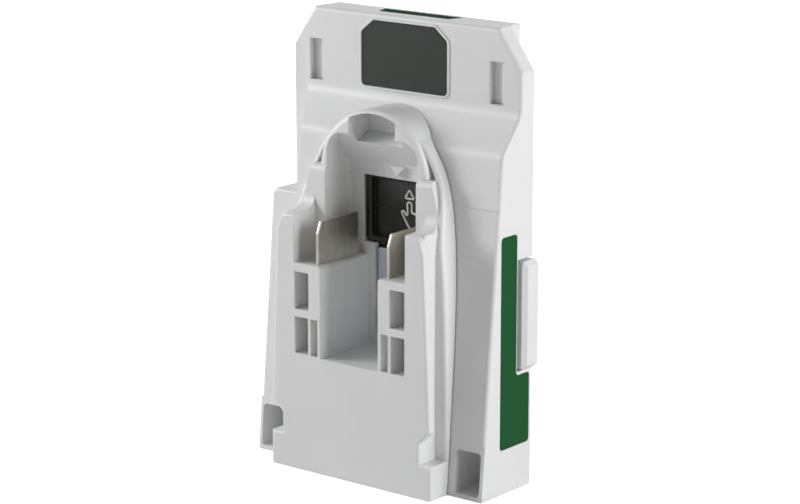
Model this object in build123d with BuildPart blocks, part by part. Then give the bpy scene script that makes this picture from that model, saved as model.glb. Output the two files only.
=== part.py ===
from build123d import *
import math
import os

os.makedirs("parts", exist_ok=True)

# Frame: X to the right, Y to the rear, Z up. The origin is on the floor plane, in the
# middle of the width, in the plane of the flat upper plate. The front faces -Y.

# Common clearances and one overrun that serves every cut
gap = 0.3
slide_gap = 0.35
overrun = 60.0

# Housing
housing_width = 87.6
side_depth = 6.0
wall = 2.2
corner_cut_width = 8.6
corner_cut_height = 12.4
plate_height = 25.3
band_height = 10.8
band_bottom_z = 102.9
lower_face_step = 8.9
foot_step = 18.3
band_blend = 5.0
outer_edge_radius = 1.2

# Margin notch down the left side of the housing
notch_floor_y = 1.0
notch_shelf_z = 83.0
notch_width_plate = 5.8
notch_width_face = 10.6
notch_corner_radius = 2.6

# Snap windows in the plate
snap_window_inset = 9.3
snap_window_width = 5.0
snap_window_rise = 8.9
snap_window_height = 12.8
snap_tongue_thickness = 1.8
snap_fit = 0.1

# Pockets in the two lower corners
pocket_inset = 5.9
pocket_width = 9.5
pocket_bottom_z = 1.3
pocket_height = 13.3
pocket_floor_y = -6.0
pocket_radius = 1.2

# Fine seam on the right of the lower face
seam_z = 86.8
seam_length = 10.3
seam_width = 0.25
seam_depth = 0.15

# Labels
label_thickness = 0.35
label_edge = 0.12
front_label_width = 33.0
front_label_foot_margin = 2.9
front_label_head_margin = 2.0
front_label_cut_height = 3.9
front_label_top_width = 23.5
front_label_corner = 1.6
label_rim = 0.7
label_rim_height = 0.3
top_label_width = 30.0
top_label_front_y = 4.4
top_label_depth = 5.2
top_label_point = 1.6
side_label_front_y = -9.4
side_label_top_z = 79.0
side_label_bottom_z = 13.8
side_label_waist_y = -1.5
side_label_rear_y = 5.1
side_label_waist_z = 35.6
side_label_corner = 1.2

# Battery dock
dock_front_y = -26.7
flange_thickness = 2.7
flange_half_top = 26.4
flange_half_upper = 28.2
flange_half_middle = 29.6
flange_half_low = 30.6
flange_top_z = 80.0
flange_upper_z = 75.0
flange_middle_z = 45.0
flange_end_z = 21.0
flange_chamfer_z = 18.6
flange_chamfer = 1.6
flange_corner_radius = 3.0
web_half_width = 26.7
base_front_y = -18.7
foot_half_width = 31.1
foot_height = 10.6
dock_edge_radius = 0.8
base_slope_z = 76.0
base_blend_radius = 24.0
base_edge_radius = 1.2
skirt_front_y = -13.6
skirt_slope_z = 94.0
skirt_wall = 1.7
shoulder_front_y = -16.5
shoulder_top_z = 94.2
shoulder_edge_radius = 2.2
web_blend_radius = 4.6

# Side curve of the dock where it meets the housing, half width at each height
skirt_points = [
    (31.3, 0.0),
    (30.8, 32.0),
    (30.0, 60.0),
    (28.0, 80.8),
    (24.3, 94.6),
    (17.0, 104.5),
    (13.0, 107.0),
]

# Dome and its opening
dome_half_width = 20.8
dome_centre_z = 92.0
dome_front_y = -15.6
dome_edge_radius = 2.0
mouth_half_width = 17.5
mouth_top_z = 104.6
mouth_corner_radius = 6.0
catch_slot_half_width = 8.9
catch_slot_roof = 1.1
catch_slot_rear_y = -5.8
catch_slot_rear_z = 104.5
catch_slot_front_y = -12.2
catch_slot_front_z = 101.6

# Cavity and back wall
back_wall_y = -3.6
back_wall_thickness = 2.0
mouth_rear_y = -13.8
ceiling_knee_y = -5.5
ceiling_knee_z = 95.2
ceiling_y = -4.6
ceiling_low_z = 92.0
ceiling_lip_z = 90.3
ceiling_rib_x = 2.2
ceiling_rib_width = 5.8
ceiling_rib_top_z = 94.6
ceiling_rib_tip_z = 91.4
ceiling_rib_front_y = -6.4
plug_bottom_z = 11.0
plug_waist_z = 67.0
plug_waist_height = 3.0
plug_top_z = 100.7
plug_neck_half_width = 10.2
plug_neck_top_z = 108.4

# Posts that carry the blades
post_top_z = 65.2
post_inner_x = 11.2
post_outer_x = 21.5
bay_floor_z = 36.6
post_edge_radius = 1.0

# Compartments in the posts
upper_cell_inner_x = 15.7
upper_cell_outer_x = 21.3
upper_cell_bottom_z = 50.8
upper_cell_top_z = 62.5
lower_cell_inner_x = 16.0
lower_cell_outer_x = 21.3
lower_cell_bottom_z = 36.9
lower_cell_top_z = 48.4
cell_depth = 13.0
blade_slot_inner_x = 12.3
blade_slot_outer_x = 15.0
blade_slot_depth = 1.9

# Terminal blades
blade_x = 13.7
blade_thickness = 1.0
blade_front_y = -25.0
blade_rear_y = -6.0
blade_top_z = 78.5
blade_bottom_z = 37.6
blade_nose_height = 3.6
blade_nose_depth = 1.5
blade_bevel = 0.3
blade_fit = 0.05
blade_tail_height = 6.4
blade_tail_rear_y = 4.6

# Release slider in the window of the back wall
slider_half_width = 12.4
slider_bottom_z = 69.3
slider_top_z = 91.0
slider_front_y = -3.3
slider_rim = 2.2
slider_sill = 1.8
slider_dish_depth = 2.4
slider_rim_bevel = 0.3
slider_back_y = 0.9
slider_corner_radius = 1.5
slider_flange = 2.4
slider_flange_bottom_z = 68.0
slider_flange_top_z = 96.6
slider_travel = 6.0
window_top_z = 98.5

# Carriage plate behind the slot, with its two cam slots
carriage_half_width = 14.6
carriage_neck_half_width = 8.4
carriage_thickness = 1.2
carriage_bottom_z = 40.4
carriage_wide_bottom_z = 46.0
carriage_wide_top_z = 66.0
carriage_top_z = 82.0
carriage_pad_top_z = 67.6
carriage_pad_half_width = 7.9
carriage_pad_bottom_z = 42.0
carriage_pad_front_y = -3.0
carriage_pad_radius = 0.8
slot_side_gap = 0.8
slot_bottom_z = 40.6
cam_x = 11.7
cam_z = 57.0
cam_pin_radius = 1.0
cam_fit = 0.3
latch_travel = 2.4

# Latch bars through the side walls
latch_width = 6.6
latch_front_y = -0.6
latch_bottom_z = 37.2
latch_height = 33.1
latch_proud = 2.4
latch_depth = 5.2
latch_edge_radius = 1.3
latch_port_gap = 0.6
latch_arm_height = 7.0
latch_arm_thickness = 2.0
latch_arm_inner_x = 9.6
latch_arm_root = 2.4
guide_inner_x = 22.0
guide_outer_x = 31.0
guide_wall = 1.2

# Slider springs
spring_x = 9.0
spring_y = 2.6
spring_radius = 1.7
spring_wire = 0.5
spring_turns = 8
spring_end_gap = 0.05
spring_seat_z = 96.6
spring_stop_z = 110.0
spring_pin_radius = 0.9
spring_pin_length = 3.0
spring_lug_height = 2.0
rail_width = 4.05
rail_bottom_z = 46.0
rail_top_z = 96.0
keeper_bottom_z = 86.0
keeper_height = 7.0
keeper_thickness = 1.8
keeper_pad_width = 4.0
spring_bracket_thickness = 2.0

# Rear cover
cover_fit = 0.25
plinth_inset = 9.3
plinth_depth = 6.5
plinth_bottom_z = 14.0
plinth_edge_radius = 1.5
plinth_top_wall = 4.5

# Screws: radius of the thread, radius and height of the head
screw_radius = 1.3
screw_head_radius = 2.5
screw_head_height = 1.8
screw_fit = 0.1
head_fit = 0.15
boss_radius = 2.8
cover_boss_thickness = 1.4
drive_radius = 0.9
drive_depth = 1.0
housing_screw_inset = 5.8
housing_screw_low_z = 8.0
housing_screw_high_z = 77.0
housing_screw_length = 9.0
dock_screw_low = (22.0, 6.0)
dock_screw_high = (23.4, 84.0)
dock_screw_length = 7.5
dock_boss_height = 0.8
slider_screw_x = 5.0
slider_screw_z = 76.0
slider_screw_length = 2.6
keeper_screw_length = 5.0

# Circuit board and what it carries
board_width = 52.0
board_corner_radius = 1.5
part_corner_radius = 0.6
board_bottom_z = 86.0
board_height = 42.0
board_y = 6.6
board_thickness = 1.6
board_screw_x = 22.0
board_screw_z = 122.0
board_screw_length = 5.0
board_low_screw_z = 92.0
fuse_width = 16.0
fuse_height = 7.0
fuse_depth = 3.0
fuse_z = 121.5
transistor_width = 10.0
transistor_height = 8.6
transistor_depth = 2.2
transistor_z = 99.5
transistor_x = 16.5

# Contact block that meets the appliance
block_half_width = 15.0
block_bottom_z = 20.0
block_height = 14.0
block_front_y = 5.2
block_nose = 1.3
plinth_inner_clear = 0.3
block_fit = 0.3
block_flange_half_width = 22.0
block_flange_margin = 2.0
block_screw_x = 18.8
block_screw_length = 6.3
contact_width = 5.0
contact_thickness = 0.8
contact_pitch = 9.0
contact_height = 9.0
contact_tail = 4.0
contact_tail_width = 3.0
contact_fit = 0.05

# Insulated leads
lead_diameter = 2.2
lead_fit = 0.05
lead_bend = 2.2
lead_sweep = 6.0
lead_y = 7.4
lead_board_x = 18.0
lead_turn_z = 72.0
lead_tail_z = 40.8
output_lead_x = 6.0
output_lead_y = 8.5
output_lead_high_z = 74.0
output_lead_low_z = 52.0

half_width = housing_width / 2
snap_window_x = half_width - snap_window_inset
pocket_x = half_width - pocket_inset
seam_inner_x = half_width - seam_length
latch_inner_x = half_width - latch_depth
housing_screw_x = half_width - housing_screw_inset
plinth_half_width = half_width - plinth_inset
top_half = half_width - corner_cut_width
rim_y = side_depth
band_top_z = band_bottom_z + band_height
housing_height = band_top_z + plate_height
shoulder_z = housing_height - corner_cut_height
notch_x_plate = half_width - notch_width_plate
notch_x_face = half_width - notch_width_face


def lower_face_y(z):
    """Front surface of the slanted lower face at a height."""
    return -foot_step + (foot_step - lower_face_step) * z / band_bottom_z


def housing_body(inset, rear_y):
    """Housing outline drawn in by an inset, from its front faces back to a plane."""
    slope = math.atan2(foot_step - lower_face_step, band_bottom_z)
    shift = inset / math.cos(slope)
    with BuildPart() as body:
        with BuildSketch(Plane.YZ):
            with BuildLine():
                Polyline(
                    (rear_y, inset),
                    (lower_face_y(inset) + shift, inset),
                    (lower_face_y(band_bottom_z) + shift, band_bottom_z),
                    (inset, band_top_z),
                    (inset, housing_height - inset),
                    (rear_y, housing_height - inset),
                    close=True,
                )
            make_face()
            waist = vertices().sort_by(Axis.Y)[2:4]
            fillet(waist, radius=band_blend)
        extrude(amount=half_width - inset, both=True)
        with BuildSketch(Plane.XZ):
            with BuildLine():
                Polyline(
                    (-half_width, 0),
                    (half_width, 0),
                    (half_width, shoulder_z),
                    (top_half, housing_height),
                    (-top_half, housing_height),
                    (-half_width, shoulder_z),
                    close=True,
                )
            make_face()
            if inset:
                offset(amount=-inset, kind=Kind.INTERSECTION)
        extrude(amount=overrun, both=True, mode=Mode.INTERSECT)
        with BuildSketch(Plane.XZ.offset(-notch_floor_y - inset)):
            with BuildLine():
                Polyline(
                    (-half_width - overrun, notch_shelf_z - inset),
                    (-notch_x_face + inset, notch_shelf_z - inset),
                    (-notch_x_face + inset, band_bottom_z),
                    (-notch_x_plate + inset, band_top_z),
                    (-notch_x_plate + inset, housing_height + overrun),
                    (-half_width - overrun, housing_height + overrun),
                    close=True,
                )
            make_face()
        extrude(amount=overrun, mode=Mode.SUBTRACT)
    return body.part


def plane_at(y):
    """Sketch plane facing the front at a depth; an extrusion from it goes forward."""
    return Plane.XZ.offset(-y)


def close_to(a, b):
    """Whether two places coincide to a share of the smallest clearance."""
    return abs(a - b) < gap / overrun


def screw(x, y, z, length, direction):
    """Pan-head screw whose head seats on the plane y; direction 1 points its tip to the front."""
    seat = plane_at(y) if direction > 0 else Plane(origin=(0, y, 0), x_dir=(1, 0, 0), z_dir=(0, 1, 0))
    across = z if direction > 0 else -z
    with BuildPart() as fastener:
        with BuildSketch(seat):
            with Locations((x, across)):
                Circle(screw_radius)
        extrude(amount=length)
        with BuildSketch(seat):
            with Locations((x, across)):
                Circle(screw_head_radius)
        extrude(amount=-screw_head_height)
        head_rim = fastener.edges().filter_by(GeomType.CIRCLE).sort_by(Axis.Y)
        fillet(head_rim[-1 if direction > 0 else 0], radius=screw_head_height / 3)
        with BuildSketch(seat.offset(-screw_head_height)):
            with Locations((x, across)):
                RegularPolygon(drive_radius, 6)
        extrude(amount=drive_depth, mode=Mode.SUBTRACT)
    return fastener.part


def screw_group(places, length, direction):
    """Several equal screws as separate solids, each place given as x, seat y and z."""
    return Compound(children=[screw(x, y, z, length, direction) for x, y, z in places])


# Places shared between pieces
latch_middle_z = latch_bottom_z + latch_height / 2
cover_plate_y = rim_y - wall
cover_boss_y = cover_plate_y - cover_boss_thickness
housing_seat_y = cover_boss_y + screw_head_height
back_rear_y = back_wall_y + back_wall_thickness
carriage_rear_y = slider_back_y + carriage_thickness
arm_front_y = carriage_rear_y + slide_gap
arm_rear_y = arm_front_y + latch_arm_thickness
plinth_rear_y = rim_y + plinth_depth
plinth_inner_y = plinth_rear_y - wall
plug_half_low = post_outer_x + wall
plug_half_high = mouth_half_width + skirt_wall
slot_half_width = carriage_pad_half_width + slot_side_gap
window_half_width = slider_half_width + gap
window_bottom_z = slider_bottom_z - gap
pocket_places = [(side * pocket_x, pocket_bottom_z + pocket_height / 2) for side in (-1, 1)]
housing_screw_places = [
    (side * housing_screw_x, housing_seat_y, z)
    for side in (-1, 1)
    for z in (housing_screw_low_z, housing_screw_high_z)
]
dock_screw_places = [
    (side * x, lower_face_y(z) + wall + dock_boss_height, z)
    for side in (-1, 1)
    for x, z in (dock_screw_low, dock_screw_high)
]
rail_middle_x = plug_half_high - rail_width / 2
keeper_middle_z = keeper_bottom_z + keeper_height / 2
keeper_screw_places = [
    (side * rail_middle_x, carriage_rear_y + keeper_thickness, keeper_middle_z)
    for side in (-1, 1)
]
slider_screw_places = [(side * slider_screw_x, carriage_rear_y, slider_screw_z) for side in (-1, 1)]
spring_places = [(-spring_x, spring_y), (spring_x, spring_y)]
snap_window_z = band_top_z + snap_window_rise
front_label_bottom_z = band_top_z + front_label_foot_margin
front_label_top_z = housing_height - front_label_head_margin
front_label_side_top_z = front_label_top_z - front_label_cut_height
front_label_points = [
    (-front_label_width / 2, front_label_bottom_z),
    (front_label_width / 2, front_label_bottom_z),
    (front_label_width / 2, front_label_side_top_z),
    (front_label_top_width / 2, front_label_top_z),
    (-front_label_top_width / 2, front_label_top_z),
    (-front_label_width / 2, front_label_side_top_z),
]
side_label_points = [
    (side_label_front_y, side_label_bottom_z),
    (side_label_rear_y, side_label_bottom_z),
    (side_label_rear_y, side_label_waist_z),
    (side_label_waist_y, side_label_waist_z),
    (side_label_waist_y, side_label_top_z),
    (side_label_front_y, side_label_top_z),
]
top_label_rear_y = top_label_front_y + top_label_depth
top_label_points = [
    (-top_label_width / 2 + top_label_point, top_label_front_y),
    (top_label_width / 2 - top_label_point, top_label_front_y),
    (top_label_width / 2, top_label_rear_y),
    (-top_label_width / 2, top_label_rear_y),
]


def plug_points(room):
    """Outline of the dock's plug; with room it is the hole that takes the plug."""
    right = [
        (plug_half_low + room, plug_bottom_z - room),
        (plug_half_low + room, plug_waist_z),
        (plug_half_high + room, plug_waist_z + plug_waist_height),
        (plug_half_high + room, plug_top_z + room),
        (plug_neck_half_width + room, plug_top_z + room),
        (plug_neck_half_width + room, plug_neck_top_z + room),
    ]
    return right + [(-x, z) for x, z in reversed(right)]


def blade_points(room):
    """Side outline of a blade; with room it is the bed that takes the blade."""
    return [
        (blade_front_y - room, blade_bottom_z - room),
        (blade_tail_rear_y + room, blade_bottom_z - room),
        (blade_tail_rear_y + room, blade_bottom_z + blade_tail_height + room),
        (blade_rear_y + room, blade_bottom_z + blade_tail_height + room),
        (blade_rear_y + room, blade_top_z + room),
        (blade_front_y + blade_nose_depth - room, blade_top_z + room),
        (blade_front_y - room, blade_top_z - blade_nose_height + room),
    ]


outer_shell = housing_body(0, rim_y)
inner_shell = housing_body(wall, rim_y + overrun)

# Things that stand inside the front cover: pocket boxes, screw bosses and spring stops
with BuildPart() as cover_inside:
    with BuildSketch(plane_at(pocket_floor_y + wall)):
        with Locations(*pocket_places):
            Rectangle(pocket_width + 2 * wall, pocket_height + 2 * wall)
    extrude(amount=overrun)
    with BuildSketch(plane_at(cover_boss_y)):
        with Locations(*[(x, z) for x, y, z in housing_screw_places]):
            Circle(boss_radius)
    extrude(amount=overrun)
    for boss_x, boss_y, boss_z in dock_screw_places:
        with BuildSketch(plane_at(boss_y)):
            with Locations((boss_x, boss_z)):
                Circle(boss_radius)
        extrude(amount=overrun)
    with BuildSketch(plane_at(spring_y + spring_radius)):
        with Locations(*[(x, spring_stop_z + spring_bracket_thickness / 2) for x, y in spring_places]):
            Rectangle(2 * spring_radius + spring_bracket_thickness, spring_bracket_thickness)
    extrude(amount=overrun)
    with BuildSketch(Plane.XY.offset(spring_stop_z)):
        with Locations(*spring_places):
            Circle(spring_pin_radius)
    extrude(amount=-spring_pin_length)
    add(outer_shell, mode=Mode.INTERSECT)


def in_front(edge):
    """Whether an edge keeps off the open rear rim."""
    return all(point.Y < rim_y - gap for point in edge.vertices())


def on_rim(edge):
    """Front edges along the right side wall, the top and the two cut corners."""
    right = close_to(edge.center().X, half_width) and in_front(edge) and edge.center().Z > gap
    top = close_to(edge.center().Y, 0) and edge.center().Z > shoulder_z
    return right or top


def on_shelf_corner(edge):
    """Outer edge of the shelf at the foot of the side notch."""
    return close_to(edge.center().X, -half_width) and close_to(edge.center().Z, notch_shelf_z)


def on_left_rim(edge):
    """Front edge of the lower left side wall."""
    low = gap < edge.center().Z < notch_shelf_z
    return close_to(edge.center().X, -half_width) and low and in_front(edge)


# Front cover: the pale shell with the slanted lower face and the flat plate above it
with BuildPart() as front_cover:
    add(outer_shell)
    fillet(front_cover.edges().filter_by(on_rim), radius=outer_edge_radius)
    fillet(front_cover.edges().filter_by(on_shelf_corner), radius=notch_corner_radius)
    fillet(front_cover.edges().filter_by(on_left_rim), radius=outer_edge_radius)
    add(inner_shell, mode=Mode.SUBTRACT)
    add(cover_inside.part)

    # Corner pockets
    with BuildSketch(plane_at(pocket_floor_y)):
        with Locations(*pocket_places):
            RectangleRounded(pocket_width, pocket_height, pocket_radius)
    extrude(amount=overrun, mode=Mode.SUBTRACT)

    # Hole for the plug of the dock
    with BuildSketch(plane_at(back_rear_y + gap)):
        Polygon(*plug_points(gap), align=None)
    extrude(amount=overrun, mode=Mode.SUBTRACT)

    # Snap windows
    with BuildSketch(plane_at(cover_plate_y)):
        with Locations((-snap_window_x, snap_window_z), (snap_window_x, snap_window_z)):
            Rectangle(snap_window_width, snap_window_height)
    extrude(amount=overrun, mode=Mode.SUBTRACT)

    # Ports for the latch bars, open to the rear
    with BuildSketch(Plane.YZ):
        with Locations((latch_front_y - latch_port_gap + overrun / 2, latch_middle_z)):
            Rectangle(overrun, latch_height + 2 * latch_port_gap)
    extrude(amount=overrun, both=True, mode=Mode.SUBTRACT)

    # Screw holes
    with BuildSketch(plane_at(cover_boss_y)):
        with Locations(*[(x, z) for x, y, z in housing_screw_places]):
            Circle(screw_radius + screw_fit / 2)
    extrude(amount=housing_screw_length - screw_head_height + gap, mode=Mode.SUBTRACT)
    for hole_x, hole_y, hole_z in dock_screw_places:
        with BuildSketch(plane_at(hole_y)):
            with Locations((hole_x, hole_z)):
                Circle(screw_radius + screw_fit / 2)
        extrude(amount=dock_screw_length, mode=Mode.SUBTRACT)

    # Raised rim around the front label, and the beds of the labels
    with BuildSketch(Plane.XZ):
        Polygon(*front_label_points, align=None)
        fillet(vertices(), radius=front_label_corner)
        offset(amount=label_rim)
    extrude(amount=label_rim_height)
    with BuildSketch(plane_at(label_thickness)):
        Polygon(*front_label_points, align=None)
        fillet(vertices(), radius=front_label_corner)
    extrude(amount=overrun, mode=Mode.SUBTRACT)
    with BuildSketch(Plane.XY.offset(housing_height - label_thickness)):
        Polygon(*top_label_points, align=None)
    extrude(amount=overrun, mode=Mode.SUBTRACT)
    for side in (-1, 1):
        with BuildSketch(Plane.YZ.offset(side * (half_width - label_thickness))):
            Polygon(*side_label_points, align=None)
            fillet(vertices(), radius=side_label_corner)
        extrude(amount=side * overrun, mode=Mode.SUBTRACT)

    # Fine seam on the right of the lower face
    with BuildSketch(plane_at(lower_face_y(seam_z) + seam_depth)):
        with Locations(((seam_inner_x + half_width) / 2, seam_z)):
            Rectangle(half_width - seam_inner_x, seam_width)
    extrude(amount=overrun, mode=Mode.SUBTRACT)
front_cover.part.label = "front_cover"
export_step(front_cover.part, "parts/front_cover.step")

# Rear cover: a plate inside the rim and a raised plinth that the board lies in
cover_body = housing_body(wall + cover_fit, rim_y)
plinth_height = housing_height - plinth_bottom_z
with BuildPart() as rear_cover:
    add(cover_body)
    with BuildSketch(plane_at(cover_plate_y)):
        with Locations((0, housing_height / 2)):
            Rectangle(2 * overrun, housing_height + overrun)
    extrude(amount=overrun, mode=Mode.SUBTRACT)
    with BuildSketch(plane_at(plinth_rear_y)):
        with Locations((0, plinth_bottom_z + plinth_height / 2)):
            Rectangle(2 * plinth_half_width, plinth_height)
    extrude(amount=plinth_depth)
    plinth_rims = rear_cover.edges().filter_by(lambda e: close_to(e.center().Y, plinth_rear_y))
    fillet(plinth_rims, radius=plinth_edge_radius)
    hollow_height = plinth_height - wall - plinth_top_wall
    with BuildSketch(plane_at(plinth_inner_y)):
        with Locations((0, plinth_bottom_z + wall + hollow_height / 2)):
            Rectangle(2 * (plinth_half_width - wall), hollow_height)
    extrude(amount=overrun, mode=Mode.SUBTRACT)

    # Bosses for the housing screws, counterbored from the rear
    with BuildSketch(plane_at(cover_plate_y)):
        with Locations(*[(x, z) for x, y, z in housing_screw_places]):
            Circle(boss_radius)
    extrude(amount=cover_boss_thickness)
    with BuildSketch(plane_at(rim_y)):
        with Locations(*[(x, z) for x, y, z in housing_screw_places]):
            Circle(screw_radius + screw_fit / 2)
    extrude(amount=overrun, mode=Mode.SUBTRACT)
    with BuildSketch(plane_at(rim_y)):
        with Locations(*[(x, z) for x, y, z in housing_screw_places]):
            Circle(screw_head_radius + head_fit)
    extrude(amount=rim_y - housing_seat_y, mode=Mode.SUBTRACT)

    # Notches for the latch bars and channels for their arms
    with BuildSketch(plane_at(rim_y)):
        notch_inner_x = latch_inner_x - latch_travel - slide_gap
        for side in (-1, 1):
            with Locations((side * (notch_inner_x + overrun / 2), latch_middle_z)):
                Rectangle(overrun, latch_height + 2 * latch_port_gap)
    extrude(amount=overrun, mode=Mode.SUBTRACT)
    for side in (-1, 1):
        guide_middle_x = (guide_inner_x + guide_outer_x) / 2
        with BuildSketch(plane_at(plinth_inner_y)):
            with Locations((side * guide_middle_x, cam_z)):
                Rectangle(guide_outer_x - guide_inner_x, latch_arm_height + 2 * (slide_gap + guide_wall))
        extrude(amount=plinth_inner_y - arm_front_y)
        with BuildSketch(plane_at(arm_rear_y + slide_gap)):
            with Locations((side * (guide_inner_x + overrun / 2), cam_z)):
                Rectangle(overrun, latch_arm_height + 2 * slide_gap)
        extrude(amount=overrun, mode=Mode.SUBTRACT)

    # Tongues that snap into the windows of the plate
    with BuildSketch(plane_at(cover_plate_y)):
        with Locations((-snap_window_x, snap_window_z), (snap_window_x, snap_window_z)):
            Rectangle(snap_window_width - 2 * snap_fit, snap_window_height - 2 * snap_fit)
    extrude(amount=snap_tongue_thickness)

    # Posts for the board and the window for the contacts
    board_screw_spots = [
        (side * board_screw_x, z)
        for side in (-1, 1)
        for z in (board_low_screw_z, board_screw_z)
    ]
    with BuildSketch(plane_at(plinth_inner_y)):
        with Locations(*board_screw_spots):
            Circle(boss_radius)
    extrude(amount=plinth_inner_y - board_y - board_thickness)
    with BuildSketch(plane_at(board_y + board_screw_length + gap)):
        with Locations(*board_screw_spots):
            Circle(screw_radius + screw_fit / 2)
    extrude(amount=overrun, mode=Mode.SUBTRACT)
    with BuildSketch(plane_at(plinth_rear_y)):
        with Locations((0, block_bottom_z + block_height / 2)):
            Rectangle(2 * block_half_width, block_height)
    extrude(amount=overrun, mode=Mode.SUBTRACT)
    block_screw_spots = [(side * block_screw_x, block_bottom_z + block_height / 2) for side in (-1, 1)]
    with BuildSketch(plane_at(block_front_y + block_screw_length + gap)):
        with Locations(*block_screw_spots):
            Circle(screw_radius + screw_fit / 2)
    extrude(amount=overrun, mode=Mode.SUBTRACT)

    # Rear half of the bed of the top label
    with BuildSketch(Plane.XY.offset(housing_height - label_thickness)):
        Polygon(*top_label_points, align=None)
    extrude(amount=overrun, mode=Mode.SUBTRACT)
rear_cover.part.label = "rear_cover"
export_step(rear_cover.part, "parts/rear_cover.step")

# Base of the dock: its front slopes back above the rails, and its outer front edge is round
with BuildPart() as dock_base:
    with BuildSketch(plane_at(0)):
        with BuildLine():
            right_side = Spline(*skirt_points)
            left_side = Spline(*[(-x, z) for x, z in skirt_points])
            Line(right_side @ 0, left_side @ 0)
            Line(right_side @ 1, left_side @ 1)
        make_face()
    extrude(amount=-base_front_y)
    with BuildSketch(Plane.YZ):
        Polygon(
            (overrun, -overrun),
            (base_front_y, -overrun),
            (base_front_y, base_slope_z),
            (skirt_front_y, skirt_slope_z),
            (skirt_front_y, overrun + overrun),
            (overrun, overrun + overrun),
            align=None,
        )
        slope_ends = vertices().sort_by(Axis.Y)[2:4]
        fillet(slope_ends, radius=base_blend_radius)
    extrude(amount=overrun, both=True, mode=Mode.INTERSECT)
    base_rims = dock_base.edges().filter_by(
        lambda e: e.center().Y < skirt_front_y + gap and abs(e.center().X) > gap
    )
    fillet(base_rims, radius=base_edge_radius)

    # Hollows inside the skirt, left open beside the dome
    with BuildSketch(plane_at(lower_face_y(shoulder_top_z) - gap - skirt_wall)):
        with BuildLine():
            inner_right = Spline(*[(x - skirt_wall, z) for x, z in skirt_points])
            inner_left = Spline(*[(skirt_wall - x, z) for x, z in skirt_points])
            Line(inner_right @ 0, inner_left @ 0)
            Line(inner_right @ 1, inner_left @ 1)
        make_face()
        with Locations((0, shoulder_top_z - overrun)):
            Rectangle(overrun + overrun, overrun + overrun, mode=Mode.SUBTRACT)
    extrude(amount=overrun, mode=Mode.SUBTRACT)

# Shoulders above the web, inside the skirt, with the hollow rise behind the flange
with BuildPart() as shoulders:
    with BuildSketch(Plane.YZ):
        Polygon(
            (0, flange_middle_z),
            (shoulder_front_y - web_blend_radius, flange_middle_z),
            (shoulder_front_y - web_blend_radius, flange_top_z),
            (shoulder_front_y, flange_top_z + web_blend_radius),
            (shoulder_front_y, shoulder_top_z),
            (0, shoulder_top_z),
            align=None,
        )
        shoulder_corner = vertices().sort_by(Axis.Y)[-2:].sort_by(Axis.X)[:1]
        fillet(shoulder_corner, radius=shoulder_edge_radius)
        with Locations((shoulder_front_y - web_blend_radius, flange_top_z + web_blend_radius)):
            Circle(web_blend_radius, mode=Mode.SUBTRACT)
    extrude(amount=web_half_width, both=True)
    with BuildSketch(plane_at(0)):
        with BuildLine():
            shoulder_right = Spline(*[(x - skirt_wall, z) for x, z in skirt_points])
            shoulder_left = Spline(*[(skirt_wall - x, z) for x, z in skirt_points])
            Line(shoulder_right @ 0, shoulder_left @ 0)
            Line(shoulder_right @ 1, shoulder_left @ 1)
        make_face()
    extrude(amount=overrun, mode=Mode.INTERSECT)

# Dome of the dock, a half round on two straight sides
with BuildPart() as dome:
    with BuildSketch(plane_at(0)):
        with Locations((0, dome_centre_z)):
            Circle(dome_half_width)
        with Locations((0, (flange_top_z + dome_centre_z) / 2)):
            Rectangle(2 * dome_half_width, dome_centre_z - flange_top_z)
        with Locations((0, flange_top_z - overrun / 2)):
            Rectangle(overrun, overrun, mode=Mode.SUBTRACT)
    extrude(amount=-dome_front_y)
    dome_rim = dome.edges().filter_by(lambda e: close_to(e.center().Y, dome_front_y))
    fillet(dome_rim.filter_by(lambda e: e.center().Z > flange_top_z + gap), radius=dome_edge_radius)

# Plug of the dock, the part of it that passes through the housing
with BuildPart() as plug:
    with BuildSketch(plane_at(back_rear_y)):
        Polygon(*plug_points(0), align=None)
    extrude(amount=back_rear_y - dock_front_y)
    add(housing_body(-skirt_wall, overrun), mode=Mode.INTERSECT)

# Room above the posts: arched at the front, with a ceiling that falls to the back wall
with BuildPart() as mouth:
    with BuildSketch(plane_at(back_wall_y)):
        with Locations((0, (post_top_z + mouth_top_z) / 2)):
            Rectangle(2 * mouth_half_width, mouth_top_z - post_top_z)
        fillet(vertices().sort_by(Axis.Y)[-2:], radius=mouth_corner_radius)
    extrude(amount=overrun)
    with BuildSketch(Plane.YZ):
        Polygon(
            (mouth_rear_y, mouth_top_z + overrun),
            (mouth_rear_y, mouth_top_z),
            (ceiling_knee_y, ceiling_knee_z),
            (ceiling_y, ceiling_low_z),
            (ceiling_y, ceiling_lip_z),
            (overrun, ceiling_lip_z),
            (overrun, mouth_top_z + overrun),
            align=None,
        )
    extrude(amount=overrun, both=True, mode=Mode.SUBTRACT)
    with BuildSketch(plane_at(ceiling_y)):
        Polygon(
            (ceiling_rib_x - ceiling_rib_width / 2, ceiling_rib_top_z),
            (ceiling_rib_x, ceiling_rib_tip_z),
            (ceiling_rib_x + ceiling_rib_width / 2, ceiling_rib_top_z),
            align=None,
        )
    extrude(amount=ceiling_y - ceiling_rib_front_y, mode=Mode.SUBTRACT)

# Slot in the roof of the room where the battery's hook catches
with BuildPart() as catch_slot:
    with BuildSketch(Plane.YZ):
        Polygon(
            (catch_slot_rear_y, catch_slot_rear_z),
            (catch_slot_rear_y, overrun + overrun),
            (-overrun, overrun + overrun),
            (-overrun, catch_slot_front_z),
            (catch_slot_front_y, catch_slot_front_z),
            align=None,
        )
    extrude(amount=catch_slot_half_width, both=True)
    with BuildSketch(plane_at(0)):
        with Locations((0, dome_centre_z)):
            Circle(dome_half_width - catch_slot_roof)
    extrude(amount=overrun, mode=Mode.INTERSECT)

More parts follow.
